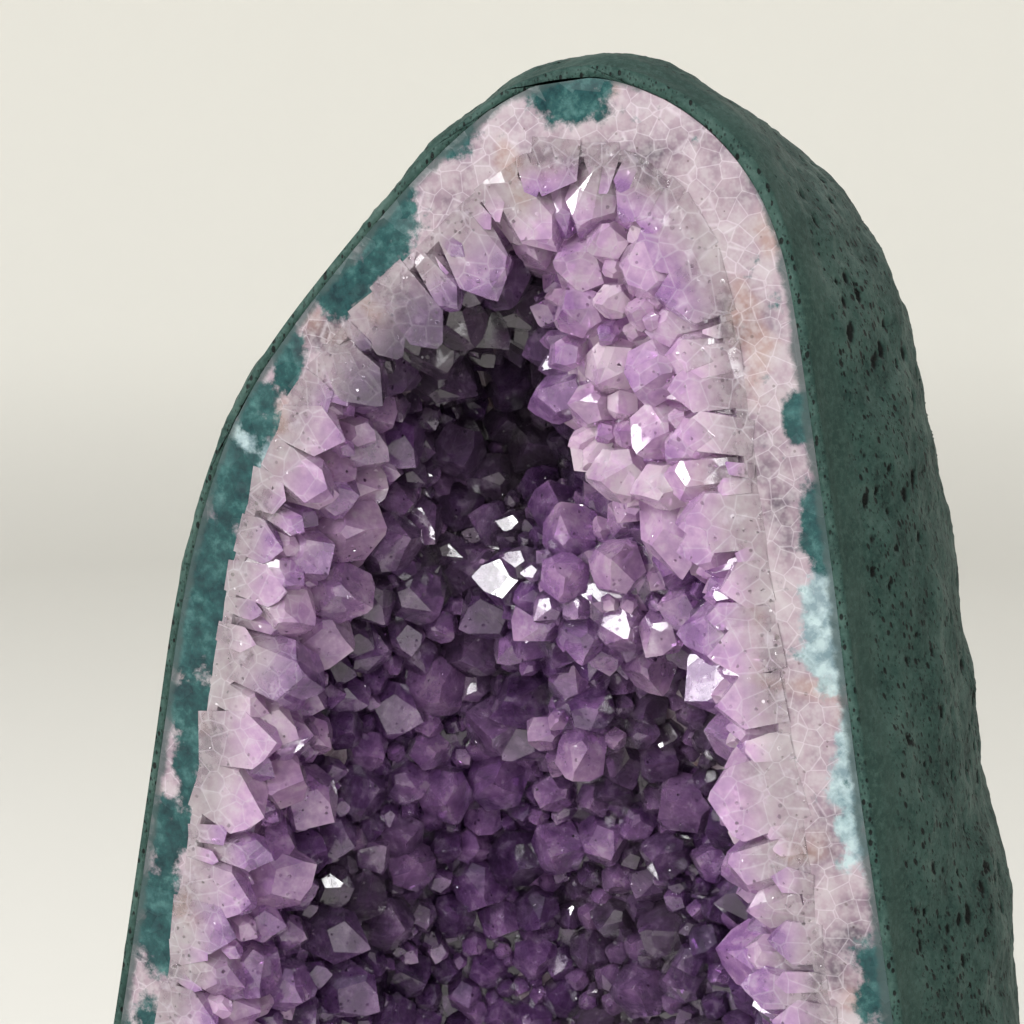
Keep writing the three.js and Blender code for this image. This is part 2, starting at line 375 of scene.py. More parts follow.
# %% [markdown]
# ## The wall that the crystals root on
# The hollow's own wall is the quartz layer's inner skin. It is cut free, carried a little past the
# saw cut, and pushed into soft hummocks, because crystals grow in clusters. Given a thickness, it is
# the bed that joins all the crystals into one solid. The crystals' places are drawn face by face, so
# the faces are put in a fixed order after the extrusion, which makes them in any order.

# %% The bed
BACKING = 3 * MM  # a face this close to the crust belongs to the quartz layer's outer skin
CARRIED = 9 * MM
BED_THICKNESS = 2.2 * MM
HUMMOCKS = ((24, 5.5), (55, 2.0))  # how often along a metre, and how high in mm
SWELLS = (  # middle across and up, half width, half height, and how far each comes forward, in mm
    (43, 321, 46, 46, 46), (20, 270, 34, 24, 18), (0, 231, 15, 13, 11), (-38, 262, 12, 16, 7),
)
SET_BACK = 9  # in mm, how far behind the saw cut the swells end
wall = node_copy("quartz_wall")
hidden = [
    face for face in wall.faces
    if all(map(sawn, face.verts)) or crust_tree.find_nearest(face.calc_center_median())[3] < BACKING
]
bmesh.ops.delete(wall, geom=hidden, context="FACES")
mouth = [e for e in wall.edges if e.is_boundary]
carried = bmesh.ops.extrude_edge_only(wall, edges=mouth)["geom"]
bmesh.ops.translate(
    wall, verts=[v for v in carried if isinstance(v, bmesh.types.BMVert)], vec=(0, -CARRIED, 0))
in_fixed_order(wall)
for step in (12, 6):
    halve(wall, lambda _: True, lambda _: step * MM)
    bmesh.ops.smooth_vert(wall, verts=[v for v in wall.verts if not v.is_boundary], factor=0.5,
                          use_axis_x=True, use_axis_y=True, use_axis_z=True)
wall.normal_update()
for vert in wall.verts:
    swell = sum(high * noise.noise(vert.co * often + Vector((0, 3, 5))) for often, high in HUMMOCKS)
    deep = ease(vert.co.y - FRONT, 2 * MM, 22 * MM)
    vert.co += vert.normal * (0.5 + (1.5 + swell) * deep) * MM
    forward = 0
    for across, up, half_width, half_height, most in SWELLS:
        away = math.hypot((vert.co.x / MM - across) / half_width, (vert.co.z / MM - up) / half_height)
        forward += most * (1 - ease(away, 0.45, 1.0))
    room = (vert.co.y - FRONT) / MM - SET_BACK
    vert.co.y -= max(min(forward, 0.9 * room), 0) * MM
wall.normal_update()
wall_tree = BVHTree.FromBMesh(wall)
print("the bed has", len(wall.faces), "triangles")

# %% [markdown]
# ## One crystal
# A quartz crystal is a six-sided column under a tip of six faces, and three of those faces are
# larger than the rest. A column is cut down by six slanted planes, as a gem is cut: a plane that
# starts lower leaves a larger face. Fourteen sets of heights give fourteen crystals, and hardly any
# two neighbours look the same once they are turned.

# %% Fourteen crystals
TEMPLATES = 14
FACE_TILT = math.radians(51.8)  # between a tip face's normal and the crystal's length
TIP = 1.1  # height of the tip, in radii above the column
FOOT_WIDTH, SHOULDER_WIDTH = 0.88, 1.06  # a column widens a little towards its shoulder
COLUMN = 4


def cut_crystal(heights):
    """A crystal of radius 1 whose shoulder is near 0, from a column cut by six planes."""
    gem = bmesh.new()
    bmesh.ops.create_cone(gem, cap_ends=True, segments=6, radius1=FOOT_WIDTH,
                          radius2=SHOULDER_WIDTH, depth=COLUMN)
    for side, height in enumerate(heights):
        turn = math.radians(30 + 60 * side)
        slope = math.sin(FACE_TILT)
        facing = Vector((math.cos(turn) * slope, math.sin(turn) * slope, math.cos(FACE_TILT)))
        bmesh.ops.bisect_plane(
            gem, geom=gem.verts[:] + gem.edges[:] + gem.faces[:], plane_co=(0, 0, height),
            plane_no=facing, clear_outer=True, dist=1e-5)
        bmesh.ops.holes_fill(gem, edges=[e for e in gem.edges if e.is_boundary])
    bmesh.ops.recalc_face_normals(gem, faces=gem.faces)
    mesh = bpy.data.meshes.new("crystal_template")
    gem.to_mesh(mesh)
    gem.free()
    return mesh


templates = []
for _ in range(TEMPLATES):
    large = [TIP + dice.uniform(-0.08, 0.12) for _ in range(3)]
    small = [TIP + dice.uniform(0.05, 0.55) for _ in range(3)]
    templates.append(cut_crystal([h for pair in zip(large, small) for h in pair]))
print("each crystal has about", len(templates[0].polygons), "faces")

# %% [markdown]
# ## Where the crystals stand
# Crystals crowd until they touch, large ones first and small ones in what is left. So places are
# drawn at random over the wall in a few rounds of falling size, and a place is kept when no earlier
# crystal is too close. A few of the largest are listed, and a row of large ones follows the
# mouth of the hollow, where the saw went through them.

# %% Rooting the crystals
BIG_ONES = (  # where each shows on the plane of the saw cut, across and up, and its radius, in mm
    (-2, 261, 7.6), (17, 277, 6.2), (2, 232, 8.4), (12, 268, 6.0), (-17, 260, 5.6),
    (-5, 348, 7.4), (-9, 334, 6.6), (-56, 203, 8.0), (53, 246, 7.8), (55, 228, 7.6),
    (60, 213, 7.8), (60, 193, 6.4), (24, 297, 7.0), (31, 300, 6.6), (16, 232, 5.4),
    (40, 322, 7.4), (50, 335, 7.6), (38, 342, 7.2), (58, 318, 6.4), (28, 322, 6.8),
    (-39, 216, 6.6), (11, 206, 6.4), (36, 252, 5.8), (-36, 240, 5.6), (10, 180, 6.8),
)
ROUNDS = (  # tries, smallest and largest radius in mm
    (700, 6.2, 8.4), (2200, 4.6, 6.2), (6000, 3.2, 4.6), (12000, 2.1, 3.2),
)
CROWDING = 0.7  # how close two crystals may root, as a share of their radii together
CELL = 14 * MM  # side of the cubes that rooted crystals are looked up in
RIM_TRIES = 500
RIM_RADII = (4.8, 8.8)
RIM_BAND = 4 * MM

wall_faces = list(wall.faces)
face_areas = [f.calc_area() for f in wall_faces]
roots = []  # (place, way out of the wall, radius)
cells = {}


def cell_of(place):
    return tuple(int(c // CELL) for c in place)


def has_room(place, radius):
    near = cell_of(place)
    for step_x in (-1, 0, 1):
        for step_y in (-1, 0, 1):
            for step_z in (-1, 0, 1):
                here = (near[0] + step_x, near[1] + step_y, near[2] + step_z)
                for other, reach in cells.get(here, ()):
                    if (other - place).length < CROWDING * (radius + reach):
                        return False
    return True


def root(place, out, radius):
    roots.append((place, out, radius))
    cells.setdefault(cell_of(place), []).append((place, radius))


for across, up, radius in BIG_ONES:
    shown = Vector((across * MM, FRONT, up * MM))
    place, out, _, _ = wall_tree.ray_cast(EYE, (shown - EYE).normalized())
    if place and has_room(place, radius * MM):
        root(place, out, radius * MM)

rim_faces = [
    f for f in wall_faces if abs(f.calc_center_median().y - FRONT - 1.5 * MM) < RIM_BAND
]
for face in dice.choices(rim_faces, k=RIM_TRIES):
    place = face.calc_center_median()
    radius = dice.uniform(*RIM_RADII) * MM
    if has_room(place, radius):
        root(place, face.normal.copy(), radius)

for tries, low, high in ROUNDS:
    for face in dice.choices(wall_faces, weights=face_areas, k=tries):
        a, b = sorted((dice.random(), dice.random()))
        corners = [v.co for v in face.verts]
        place = corners[0] * a + corners[1] * (b - a) + corners[2] * (1 - b)
        radius = dice.uniform(low, high) * MM
        depth = place.y - FRONT
        if depth < -3 * MM or not has_room(place, radius):
            continue
        root(place, face.normal.copy(), radius)
print(len(roots), "crystals are rooted")

# %% [markdown]
# ## Growing them together
# Crystals that overlap are one solid, and a clear solid with other surfaces inside it looks muddy.
# So they are joined for real. The crystals are dealt into groups whose members do not touch, each
# group is one clean mesh, and the Boolean modifier joins group after group to the bed. A crystal
# that the saw went through is cut off flat. Polishing leaves each one standing a hair prouder than
# the next, because quartz is harder one way than another, and that is what shows where one crystal
# stops and another starts. Each face carries its crystal's number through all of this.

# %% Dealing the crystals into groups
LEAN = 0.38
PROUD = (0.02, 0.34)  # how far polished ends stand out of the saw cut, in mm
TALLEST_TIP = 1.7
crystals = []
for place, out, radius in roots:
    rim = 1 - ease(place.y - FRONT, 4 * MM, 20 * MM)
    lean = Vector((dice.uniform(-1, 1), dice.uniform(-1, 1), dice.uniform(-1, 1))) * LEAN
    level = Vector((out.x, out.y * (1 - 0.9 * rim), out.z)).normalized()
    axis = (level + lean * (1 - 0.4 * rim)).normalized()
    column = radius * dice.uniform(0.1, 0.75) + (0.8 * MM if radius < 3 * MM else 0)
    column += rim * dice.uniform(1.0, 7.0) * MM
    crystals.append({
        "root": place, "axis": axis, "radius": radius, "column": column,
        "buried": 1.2 * MM + 0.3 * radius, "spin": dice.uniform(0, math.tau),
        "shape": dice.choice(templates),
        "sawn_at": FRONT - dice.uniform(*PROUD) * MM,
    })

# Painted shade: the one entry below zero darkens a deep pocket of the hollow to near-black.
PALE_AND_SHADED = (  # middle across and up, half width, half height, and how much paler, in mm and in tone
    (44, 324, 50, 50, 0.12), (16, 268, 26, 20, 0.32), (0, 231, 13, 12, 0.3), (-12, 320, 28, 28, -0.7),
    (-36, 214, 16, 14, 0.18), (60, 226, 16, 30, 0.16),
)


def tone_at(place):
    """How strong the colour of a crystal is: pale near the cut, and darker deep in the hollow, partly
    its own colour and partly painted shade.
    """
    # Darker with depth: partly the crystals' own colour, partly painted shade of the deep hollow.
    strength = 0.28 + 0.46 * ease(place.y - FRONT, 10 * MM, 36 * MM)
    for across, up, half_width, half_height, paler_or_shaded in PALE_AND_SHADED:
        away = math.hypot((place.x / MM - across) / half_width, (place.z / MM - up) / half_height)
        strength -= paler_or_shaded * (1 - ease(away, 0.5, 1.1))
    return min(max(strength + dice.uniform(-0.22, 0.22), 0), 1)


for crystal in crystals:
    crystal["tone"] = tone_at(crystal["root"])

groups = []
for crystal in sorted(crystals, key=lambda c: -c["radius"]):
    tall = crystal["column"] + crystal["radius"] * TALLEST_TIP
    crystal["middle"] = crystal["root"] + crystal["axis"] * (tall - crystal["buried"]) / 2
    crystal["reach"] = math.hypot((tall + crystal["buried"]) / 2, crystal["radius"] * SHOULDER_WIDTH)
    for group in groups:
        if all((crystal["middle"] - c["middle"]).length > crystal["reach"] + c["reach"] for c in group):
            group.append(crystal)
            break
    else:
        groups.append([crystal])
print(len(groups), "groups of crystals that do not touch")


# %% Building the groups and joining them
FOOT_BELOW = -1.5  # only the foot of a crystal's column lies lower than this


def grow(crystal, number):
    """One crystal in its place, with a column as long as its height above the bed needs."""
    gem = bmesh.new()
    gem.from_mesh(crystal["shape"])
    radius, column = crystal["radius"], crystal["column"]
    for vert in gem.verts:
        at_foot = vert.co.z < FOOT_BELOW
        vert.co.z = -crystal["buried"] if at_foot else vert.co.z * radius + column
        vert.co.x *= radius
        vert.co.y *= radius
    turned = crystal["axis"].to_track_quat("Z", "Y").to_matrix().to_4x4()
    place = Matrix.Translation(crystal["root"]) @ turned @ Matrix.Rotation(crystal["spin"], 4, "Z")
    bmesh.ops.transform(gem, verts=gem.verts, matrix=place)
    bmesh.ops.bisect_plane(
        gem, geom=gem.verts[:] + gem.edges[:] + gem.faces[:], plane_co=(0, crystal["sawn_at"], 0),
        plane_no=(0, -1, 0), clear_outer=True, dist=1e-6)
    bmesh.ops.holes_fill(gem, edges=[e for e in gem.edges if e.is_boundary])
    bmesh.ops.recalc_face_normals(gem, faces=gem.faces)
    owner = gem.faces.layers.int.new("crystal")
    for face in gem.faces:
        face[owner] = number
    gem.to_mesh(one_crystal)
    gem.free()
    return one_crystal


def group_object(group, name):
    skin = bmesh.new()
    skin.faces.layers.int.new("crystal")
    for crystal in group:
        crystal["number"] = len(numbered) + 1
        numbered.append(crystal)
        skin.from_mesh(grow(crystal, crystal["number"]))
    return as_object(skin, name)


one_crystal = bpy.data.meshes.new("one_crystal")
numbered = []
tools = [group_object(group, f"crystal_group_{i}") for i, group in enumerate(groups)]

bmesh.ops.solidify(wall, geom=wall.faces[:], thickness=BED_THICKNESS)
bmesh.ops.recalc_face_normals(wall, faces=wall.faces)
wall.faces.layers.int.new("crystal")
bed = as_object(wall, "amethyst_druse")

saw = bmesh.new()
saw.faces.layers.int.new("crystal")
bmesh.ops.create_cube(saw, size=1, matrix=Matrix.Translation((0, FRONT - 0.5 - 0.01 * MM, 0)))
bmesh.ops.scale(saw, verts=saw.verts, vec=(1, 1, 2))
for face in saw.faces:
    face[saw.faces.layers.int["crystal"]] = -1
saw_block = as_object(saw, "saw_block")

for tool in [saw_block, *tools]:
    join = bed.modifiers.new(tool.name, "BOOLEAN")
    join.solver = "MANIFOLD"
    join.operation = "DIFFERENCE" if tool is saw_block else "UNION"
    join.object = tool

joined = bpy.data.meshes.new_from_object(bed.evaluated_get(bpy.context.evaluated_depsgraph_get()))
bed.modifiers.clear()
bed.data = joined
for tool in [*tools, saw_block]:
    bpy.data.objects.remove(tool)
print("the crystals have", sum(len(p.vertices) - 2 for p in joined.polygons), "triangles")

# %% [markdown]
# ## What the crystals' colour needs to know
# Amethyst is palest at its root and darkest at its tip, and each crystal has its own strength of
# colour, which also carries painted shade deep in the hollow. The height above the root is stored
# at every corner of every face, and the tone on every face, because two crystals that meet share
# points but not colours. Some neighbours are smoky rather than violet, and that share is stored on
# the face too.

# %% Height and tone of every crystal
SMOKIEST = 0.6
BED_RISE = 0.1
druse = bmesh.new()
druse.from_mesh(joined)
drop_flaps(druse)
owner = druse.faces.layers.int["crystal"]
rise = druse.loops.layers.float.new("rise")
tone = druse.faces.layers.float.new("tone")
smoke = druse.faces.layers.float.new("smoke")
for face in druse.faces:
    number = face[owner]
    crystal = numbered[number - 1] if number > 0 else None
    face[tone] = crystal["tone"] if crystal else tone_at(face.calc_center_median())
    middle = crystal["root"] if crystal else face.calc_center_median()
    face[smoke] = SMOKIEST * ease(noise.noise(middle * 20) + noise.noise(middle * 300) / 3, 0.0, 0.3)
    for loop in face.loops:
        if crystal:
            tall = crystal["column"] + crystal["radius"] * TIP
            height = (loop.vert.co - crystal["root"]).dot(crystal["axis"]) / tall
        else:
            height = BED_RISE
        loop[rise] = min(max(height, 0), 1)
open_edges = sum(not e.is_manifold for e in druse.edges)
druse.to_mesh(joined)
druse.free()
print("open edges left in the druse:", open_edges)
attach(bed, "root")
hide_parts("amethyst_crystals")

# %% [markdown]
# ## Finishes
# Every finish is a short chain of shader nodes, so a few helpers add a node, set its options and
# join its inputs. Each helper stands for one step: a ramp of colours, one colour laid over another,
# a sum, a stretched range, a noise.

# %% Helpers for shader nodes
def feed(tree, socket, value):
    """Gives a socket its input, which is either a plain value or the socket that feeds it."""
    if isinstance(value, bpy.types.NodeSocket):
        tree.links.new(value, socket)
    elif socket.type == "RGBA" and len(value) == 3:
        socket.default_value = (*value, 1)
    else:
        socket.default_value = value


def add(tree, kind, inputs=None, **options):
    """Adds a shader node with its options and inputs."""
    made = tree.nodes.new("ShaderNode" + kind)
    for name, value in options.items():
        setattr(made, name, value)
    for name, value in (inputs or {}).items():
        feed(tree, made.inputs[name], value)
    return made


def ramp(tree, value, *stops):
    """Turns a value into a colour by stops of (place, colour)."""
    made = add(tree, "ValToRGB", {"Fac": value})
    points = made.color_ramp.elements
    while len(points) < len(stops):
        points.new(0.5)
    for point, (place, colour) in zip(points, stops):
        point.position = place
        point.color = (*colour, 1)
    return made.outputs["Color"]


def mix(tree, share, below, above):
    """Lays one colour over another."""
    made = add(tree, "Mix", data_type="RGBA")
    for number, value in ((0, share), (6, below), (7, above)):
        feed(tree, made.inputs[number], value)
    return made.outputs[2]


def sums(tree, operation, *values, clamp=False):
    """One step of arithmetic."""
    made = add(tree, "Math", operation=operation, use_clamp=clamp)
    for socket, value in zip(made.inputs, values):
        feed(tree, socket, value)
    return made.outputs[0]


def between(tree, value, low, high, out_low=0.0, out_high=1.0):
    """Stretches part of a value's range smoothly to another range."""
    made = add(tree, "MapRange", {"Value": value, "From Min": low, "From Max": high,
                                  "To Min": out_low, "To Max": out_high},
               interpolation_type="SMOOTHSTEP")
    return made.outputs["Result"]


def finish(name):
    """A new material with its Principled shader, and the place that patterns are read at."""
    material = bpy.data.materials.new(name)
    material.use_nodes = True
    tree = material.node_tree
    shader = tree.nodes["Principled BSDF"]
    place = add(tree, "TexCoord").outputs["Object"]
    return material, tree, shader, place


def clouds(tree, place, scale, detail, rough):
    """Noise: how often it repeats along a metre, how many finer layers it has and how strong."""
    return add(tree, "TexNoise", {"Vector": place, "Scale": scale, "Detail": detail,
                                  "Roughness": rough}).outputs["Fac"]


# %% [markdown]
# ## Effects that several finishes share
# Specks sit on all three layers: as fine pits in the crust, as dirt on the quartz and as glints in the
# amethyst. Sugary quartz and grown grains show on two of them. Each of these effects is a node group
# with named sockets, so that it is described once and used at different scales.

# %% Shared effects
def effect(name, inputs, outputs):
    """An empty node group: its tree, the sockets it is given and the sockets it puts out."""
    tree = bpy.data.node_groups.new(name, "ShaderNodeTree")
    for label, kind in inputs.items():
        tree.interface.new_socket(label, in_out="INPUT", socket_type="NodeSocket" + kind)
    for label, kind in outputs.items():
        tree.interface.new_socket(label, in_out="OUTPUT", socket_type="NodeSocket" + kind)
    return tree, tree.nodes.new("NodeGroupInput").outputs, tree.nodes.new("NodeGroupOutput").inputs


def specks_effect():
    """Small separate specks: a mask that is 1 inside them."""
    tree, given, out = effect("specks", {"Place": "Vector", "Scale": "Float", "Share": "Float",
                                         "Size": "Float"}, {"Mask": "Float"})
    cells = add(tree, "TexVoronoi", {"Vector": given["Place"], "Scale": given["Scale"]})
    own = add(tree, "SeparateColor", {"Color": cells.outputs["Color"]})
    present = sums(tree, "LESS_THAN", own.outputs["Red"], given["Share"])
    size = sums(tree, "MULTIPLY", given["Size"], sums(tree, "ADD", own.outputs["Green"], 0.5))
    inside = sums(tree, "SUBTRACT", 1.0, sums(tree, "DIVIDE", cells.outputs["Distance"], size))
    tree.links.new(sums(tree, "MULTIPLY", present, between(tree, inside, 0.0, 0.35)), out["Mask"])
    return tree


def grains_effect():
    """Grains grown against each other: each has a tone and a tilt of its own, and a bright edge, partly
    a painted highlight.
    """
    tree, given, out = effect(
        "grown_grains", {"Place": "Vector", "Scale": "Float", "Tilt": "Float"},
        {"Tone": "Float", "Edge": "Float", "Normal": "Vector"})
    cells = add(tree, "TexVoronoi", {"Vector": given["Place"], "Scale": given["Scale"]})
    seams = add(tree, "TexVoronoi", {"Vector": given["Place"], "Scale": given["Scale"]},
                feature="DISTANCE_TO_EDGE")
    turn = add(tree, "VectorMath", {0: cells.outputs["Color"], 1: (0.5, 0.5, 0.5)},
               operation="SUBTRACT").outputs[0]
    turn = add(tree, "VectorMath", {0: turn, "Scale": given["Tilt"]}, operation="SCALE").outputs[0]
    facing = add(tree, "VectorMath", {0: add(tree, "NewGeometry").outputs["Normal"], 1: turn},
                 operation="ADD").outputs[0]
    facing = add(tree, "VectorMath", {0: facing}, operation="NORMALIZE").outputs[0]
    own = add(tree, "SeparateColor", {"Color": cells.outputs["Color"]})
    tree.links.new(own.outputs["Blue"], out["Tone"])
    tree.links.new(between(tree, seams.outputs["Distance"], 0.05, 0.0), out["Edge"])
    tree.links.new(facing, out["Normal"])
    return tree


def sugar_effect():
    """Pale quartz that is mottled white, pink and grey, with peach stains and brown specks."""
    tree, given, out = effect("sugary_quartz", {"Place": "Vector", "Light": "Float"}, {"Color": "Color"})
    place = given["Place"]
    patches = clouds(tree, place, 75, 3, 0.6)
    colour = ramp(tree, patches, (0.3, (0.20, 0.15, 0.20)), (0.42, (0.42, 0.30, 0.38)),
                  (0.54, (0.62, 0.47, 0.55)), (0.7, (0.80, 0.70, 0.74)))
    peach = between(tree, clouds(tree, place, 48, 2, 0.6), 0.56, 0.68, 0, 0.55)
    colour = mix(tree, peach, colour, (0.58, 0.35, 0.26))
    sugar = between(tree, clouds(tree, place, 480, 2, 0.7), 0.35, 0.7, 0, 0.5)
    colour = mix(tree, sugar, colour, (0.84, 0.77, 0.80))
    brown = add(tree, "Group", {"Place": place, "Scale": 650.0, "Share": 0.09, "Size": 0.3},
                node_tree=specks).outputs["Mask"]
    colour = mix(tree, sums(tree, "MULTIPLY", brown, 0.5), colour, (0.10, 0.055, 0.045))
    dimmed = add(tree, "VectorMath", {0: colour, "Scale": given["Light"]}, operation="SCALE")
    tree.links.new(dimmed.outputs[0], out["Color"])
    return tree


specks = specks_effect()
grains = grains_effect()
sugary = sugar_effect()
print("shared effects:", [tree.name for tree in (specks, grains, sugary)])

# %% [markdown]
# ## The crust's finish
# Weathered basalt is a dull grey-green, and its pits are painted nearly black as painted shade. Noise
# at two scales mottles it. The finest pits are smaller than a triangle, so they are slanted specks,
# painted dark with shade and pressed in by a Bump node. The larger pits and the ground bevel are real,
# and their colour, with the pits' painted shade, comes from what was measured on the mesh, so that
# the paint always lies on the shape.

# %% The crust's finish
def basalt_finish():
    material, tree, shader, place = finish("basalt_crust")
    pit = add(tree, "Attribute", attribute_name="pit").outputs["Fac"]
    bevel = add(tree, "Attribute", attribute_name="bevel").outputs["Fac"]
    mottle = clouds(tree, place, 90, 8, 0.72)
    colour = ramp(tree, mottle, (0.32, (0.006, 0.019, 0.016)), (0.5, (0.016, 0.042, 0.035)),
                  (0.72, (0.042, 0.078, 0.066)))
    colour = mix(tree, sums(tree, "MULTIPLY", bevel, 0.6), colour, (0.017, 0.038, 0.031))
    grain = between(tree, clouds(tree, place, 700, 5, 0.75), 0.42, 0.7, 0, 0.5)
    colour = mix(tree, grain, colour, (0.052, 0.092, 0.080))
    slanted = add(tree, "Mapping", {"Vector": place, "Rotation": (math.radians(28), 0, 0),
                                    "Scale": (1, 1, 2.1)}, vector_type="TEXTURE").outputs["Vector"]
    small = add(tree, "Group", {"Place": slanted, "Scale": 760.0, "Share": 0.75, "Size": 0.3},
                node_tree=specks).outputs["Mask"]
    tiny = add(tree, "Group", {"Place": slanted, "Scale": 1700.0, "Share": 0.6, "Size": 0.32},
               node_tree=specks).outputs["Mask"]
    holes = sums(tree, "MAXIMUM", small, sums(tree, "MULTIPLY", tiny, 0.6))
    natural = sums(tree, "SUBTRACT", 1.0, sums(tree, "MULTIPLY", bevel, 0.85))
    holes = sums(tree, "MULTIPLY", holes, natural)
    # Painted shade: the fine pits are painted nearly black.
    colour = mix(tree, sums(tree, "MULTIPLY", holes, 0.95), colour, (0.001, 0.002, 0.002))
    # Painted shade: the real pits are painted nearly black as well.
    colour = mix(tree, between(tree, pit, 0.1, 0.5), colour, (0.001, 0.002, 0.002))
    grit = sums(tree, "MULTIPLY", clouds(tree, place, 900, 3, 0.6), 0.35)
    height = sums(tree, "SUBTRACT", grit, holes)
    bump = add(tree, "Bump", {"Height": height, "Strength": 0.7, "Distance": 0.0006})
    tree.links.new(colour, shader.inputs["Base Color"])
    tree.links.new(bump.outputs["Normal"], shader.inputs["Normal"])
    tree.links.new(between(tree, mottle, 0.3, 0.7, 0.72, 0.5), shader.inputs["Roughness"])
    shader.inputs["Specular IOR Level"].default_value = 0.16
    return material


rind.data.materials.clear()
rind.data.materials.append(basalt_finish())
print("the crust's finish has", len(rind.data.materials[0].node_tree.nodes), "nodes")

# %% [markdown]
# ## The quartz wall's finish
# The ring is polished rock of many small grains, mottled pink, white and grey. An even gloss would
# make it look like plastic, so each grain has a tilt of its own and the polish breaks up into small
# facets. The stains are the patches measured on the mesh, with noise to fray their borders, and the
# quartz darkens where it meets the crust.

# %% The quartz wall's finish
def quartz_finish():
    material, tree, shader, place = finish("pale_quartz")
    depth = add(tree, "Attribute", attribute_name="from_crust").outputs["Fac"]
    moss = add(tree, "Attribute", attribute_name="moss").outputs["Fac"]
    aqua = add(tree, "Attribute", attribute_name="aqua").outputs["Fac"]
    grown = add(tree, "Group", {"Place": place, "Scale": 260.0, "Tilt": 0.22}, node_tree=grains)
    colour = add(tree, "Group", {"Place": place, "Light": 0.41}, node_tree=sugary).outputs["Color"]
    # The grain edges are lightened a little: partly pale seams, partly a painted highlight.
    colour = mix(tree, sums(tree, "MULTIPLY", grown.outputs["Edge"], 0.25), colour, (0.55, 0.5, 0.55))
    wander = sums(tree, "SUBTRACT", clouds(tree, place, 170, 6, 0.68), 0.5)
    ragged = sums(tree, "MULTIPLY", wander, 2.4)
    pool = between(tree, sums(tree, "ADD", aqua, ragged), 0.3, 0.75, 0, 0.8)
    colour = mix(tree, pool, colour, ramp(
        tree, clouds(tree, place, 300, 4, 0.6), (0.4, (0.10, 0.18, 0.20)), (0.62, (0.30, 0.41, 0.42))))
    deep = ramp(tree, clouds(tree, place, 230, 6, 0.7), (0.34, (0.003, 0.018, 0.023)),
                (0.52, (0.010, 0.048, 0.050)), (0.7, (0.045, 0.115, 0.112)))
    stain = between(tree, sums(tree, "ADD", moss, ragged), 0.22, 0.72)
    colour = mix(tree, stain, colour, deep)
    border = between(tree, sums(tree, "ADD", depth, sums(tree, "MULTIPLY", wander, 4.0)), 2.4, 0.9)
    colour = mix(tree, sums(tree, "MULTIPLY", border, 0.85), colour, (0.030, 0.050, 0.050))
    bump = add(tree, "Bump", {"Height": clouds(tree, place, 420, 4, 0.6), "Strength": 0.15,
                              "Distance": 0.0005, "Normal": grown.outputs["Normal"]})
    tree.links.new(colour, shader.inputs["Base Color"])
    tree.links.new(bump.outputs["Normal"], shader.inputs["Normal"])
    tree.links.new(between(tree, grown.outputs["Tone"], 0, 1, 0.12, 0.36), shader.inputs["Roughness"])
    shader.inputs["Specular IOR Level"].default_value = 0.25
    return material


quartz.data.materials.clear()
quartz.data.materials.append(quartz_finish())
print("the quartz wall's finish has", len(quartz.data.materials[0].node_tree.nodes), "nodes")

# %% [markdown]
# ## The amethyst's finish
# Amethyst is clear quartz, pale and milky at its root and strongest in colour under its tip. Plain
# glass would show the bed behind every crystal, and paint alone would look like boiled sweets. So
# part of the light goes through, with the IOR of quartz and a violet absorption, and the rest
# scatters in a colour that follows each crystal's height and its own tone. At the saw cut the roots
# turn to the same sugary quartz as the wall, and a few specks are tilted at random to sparkle.

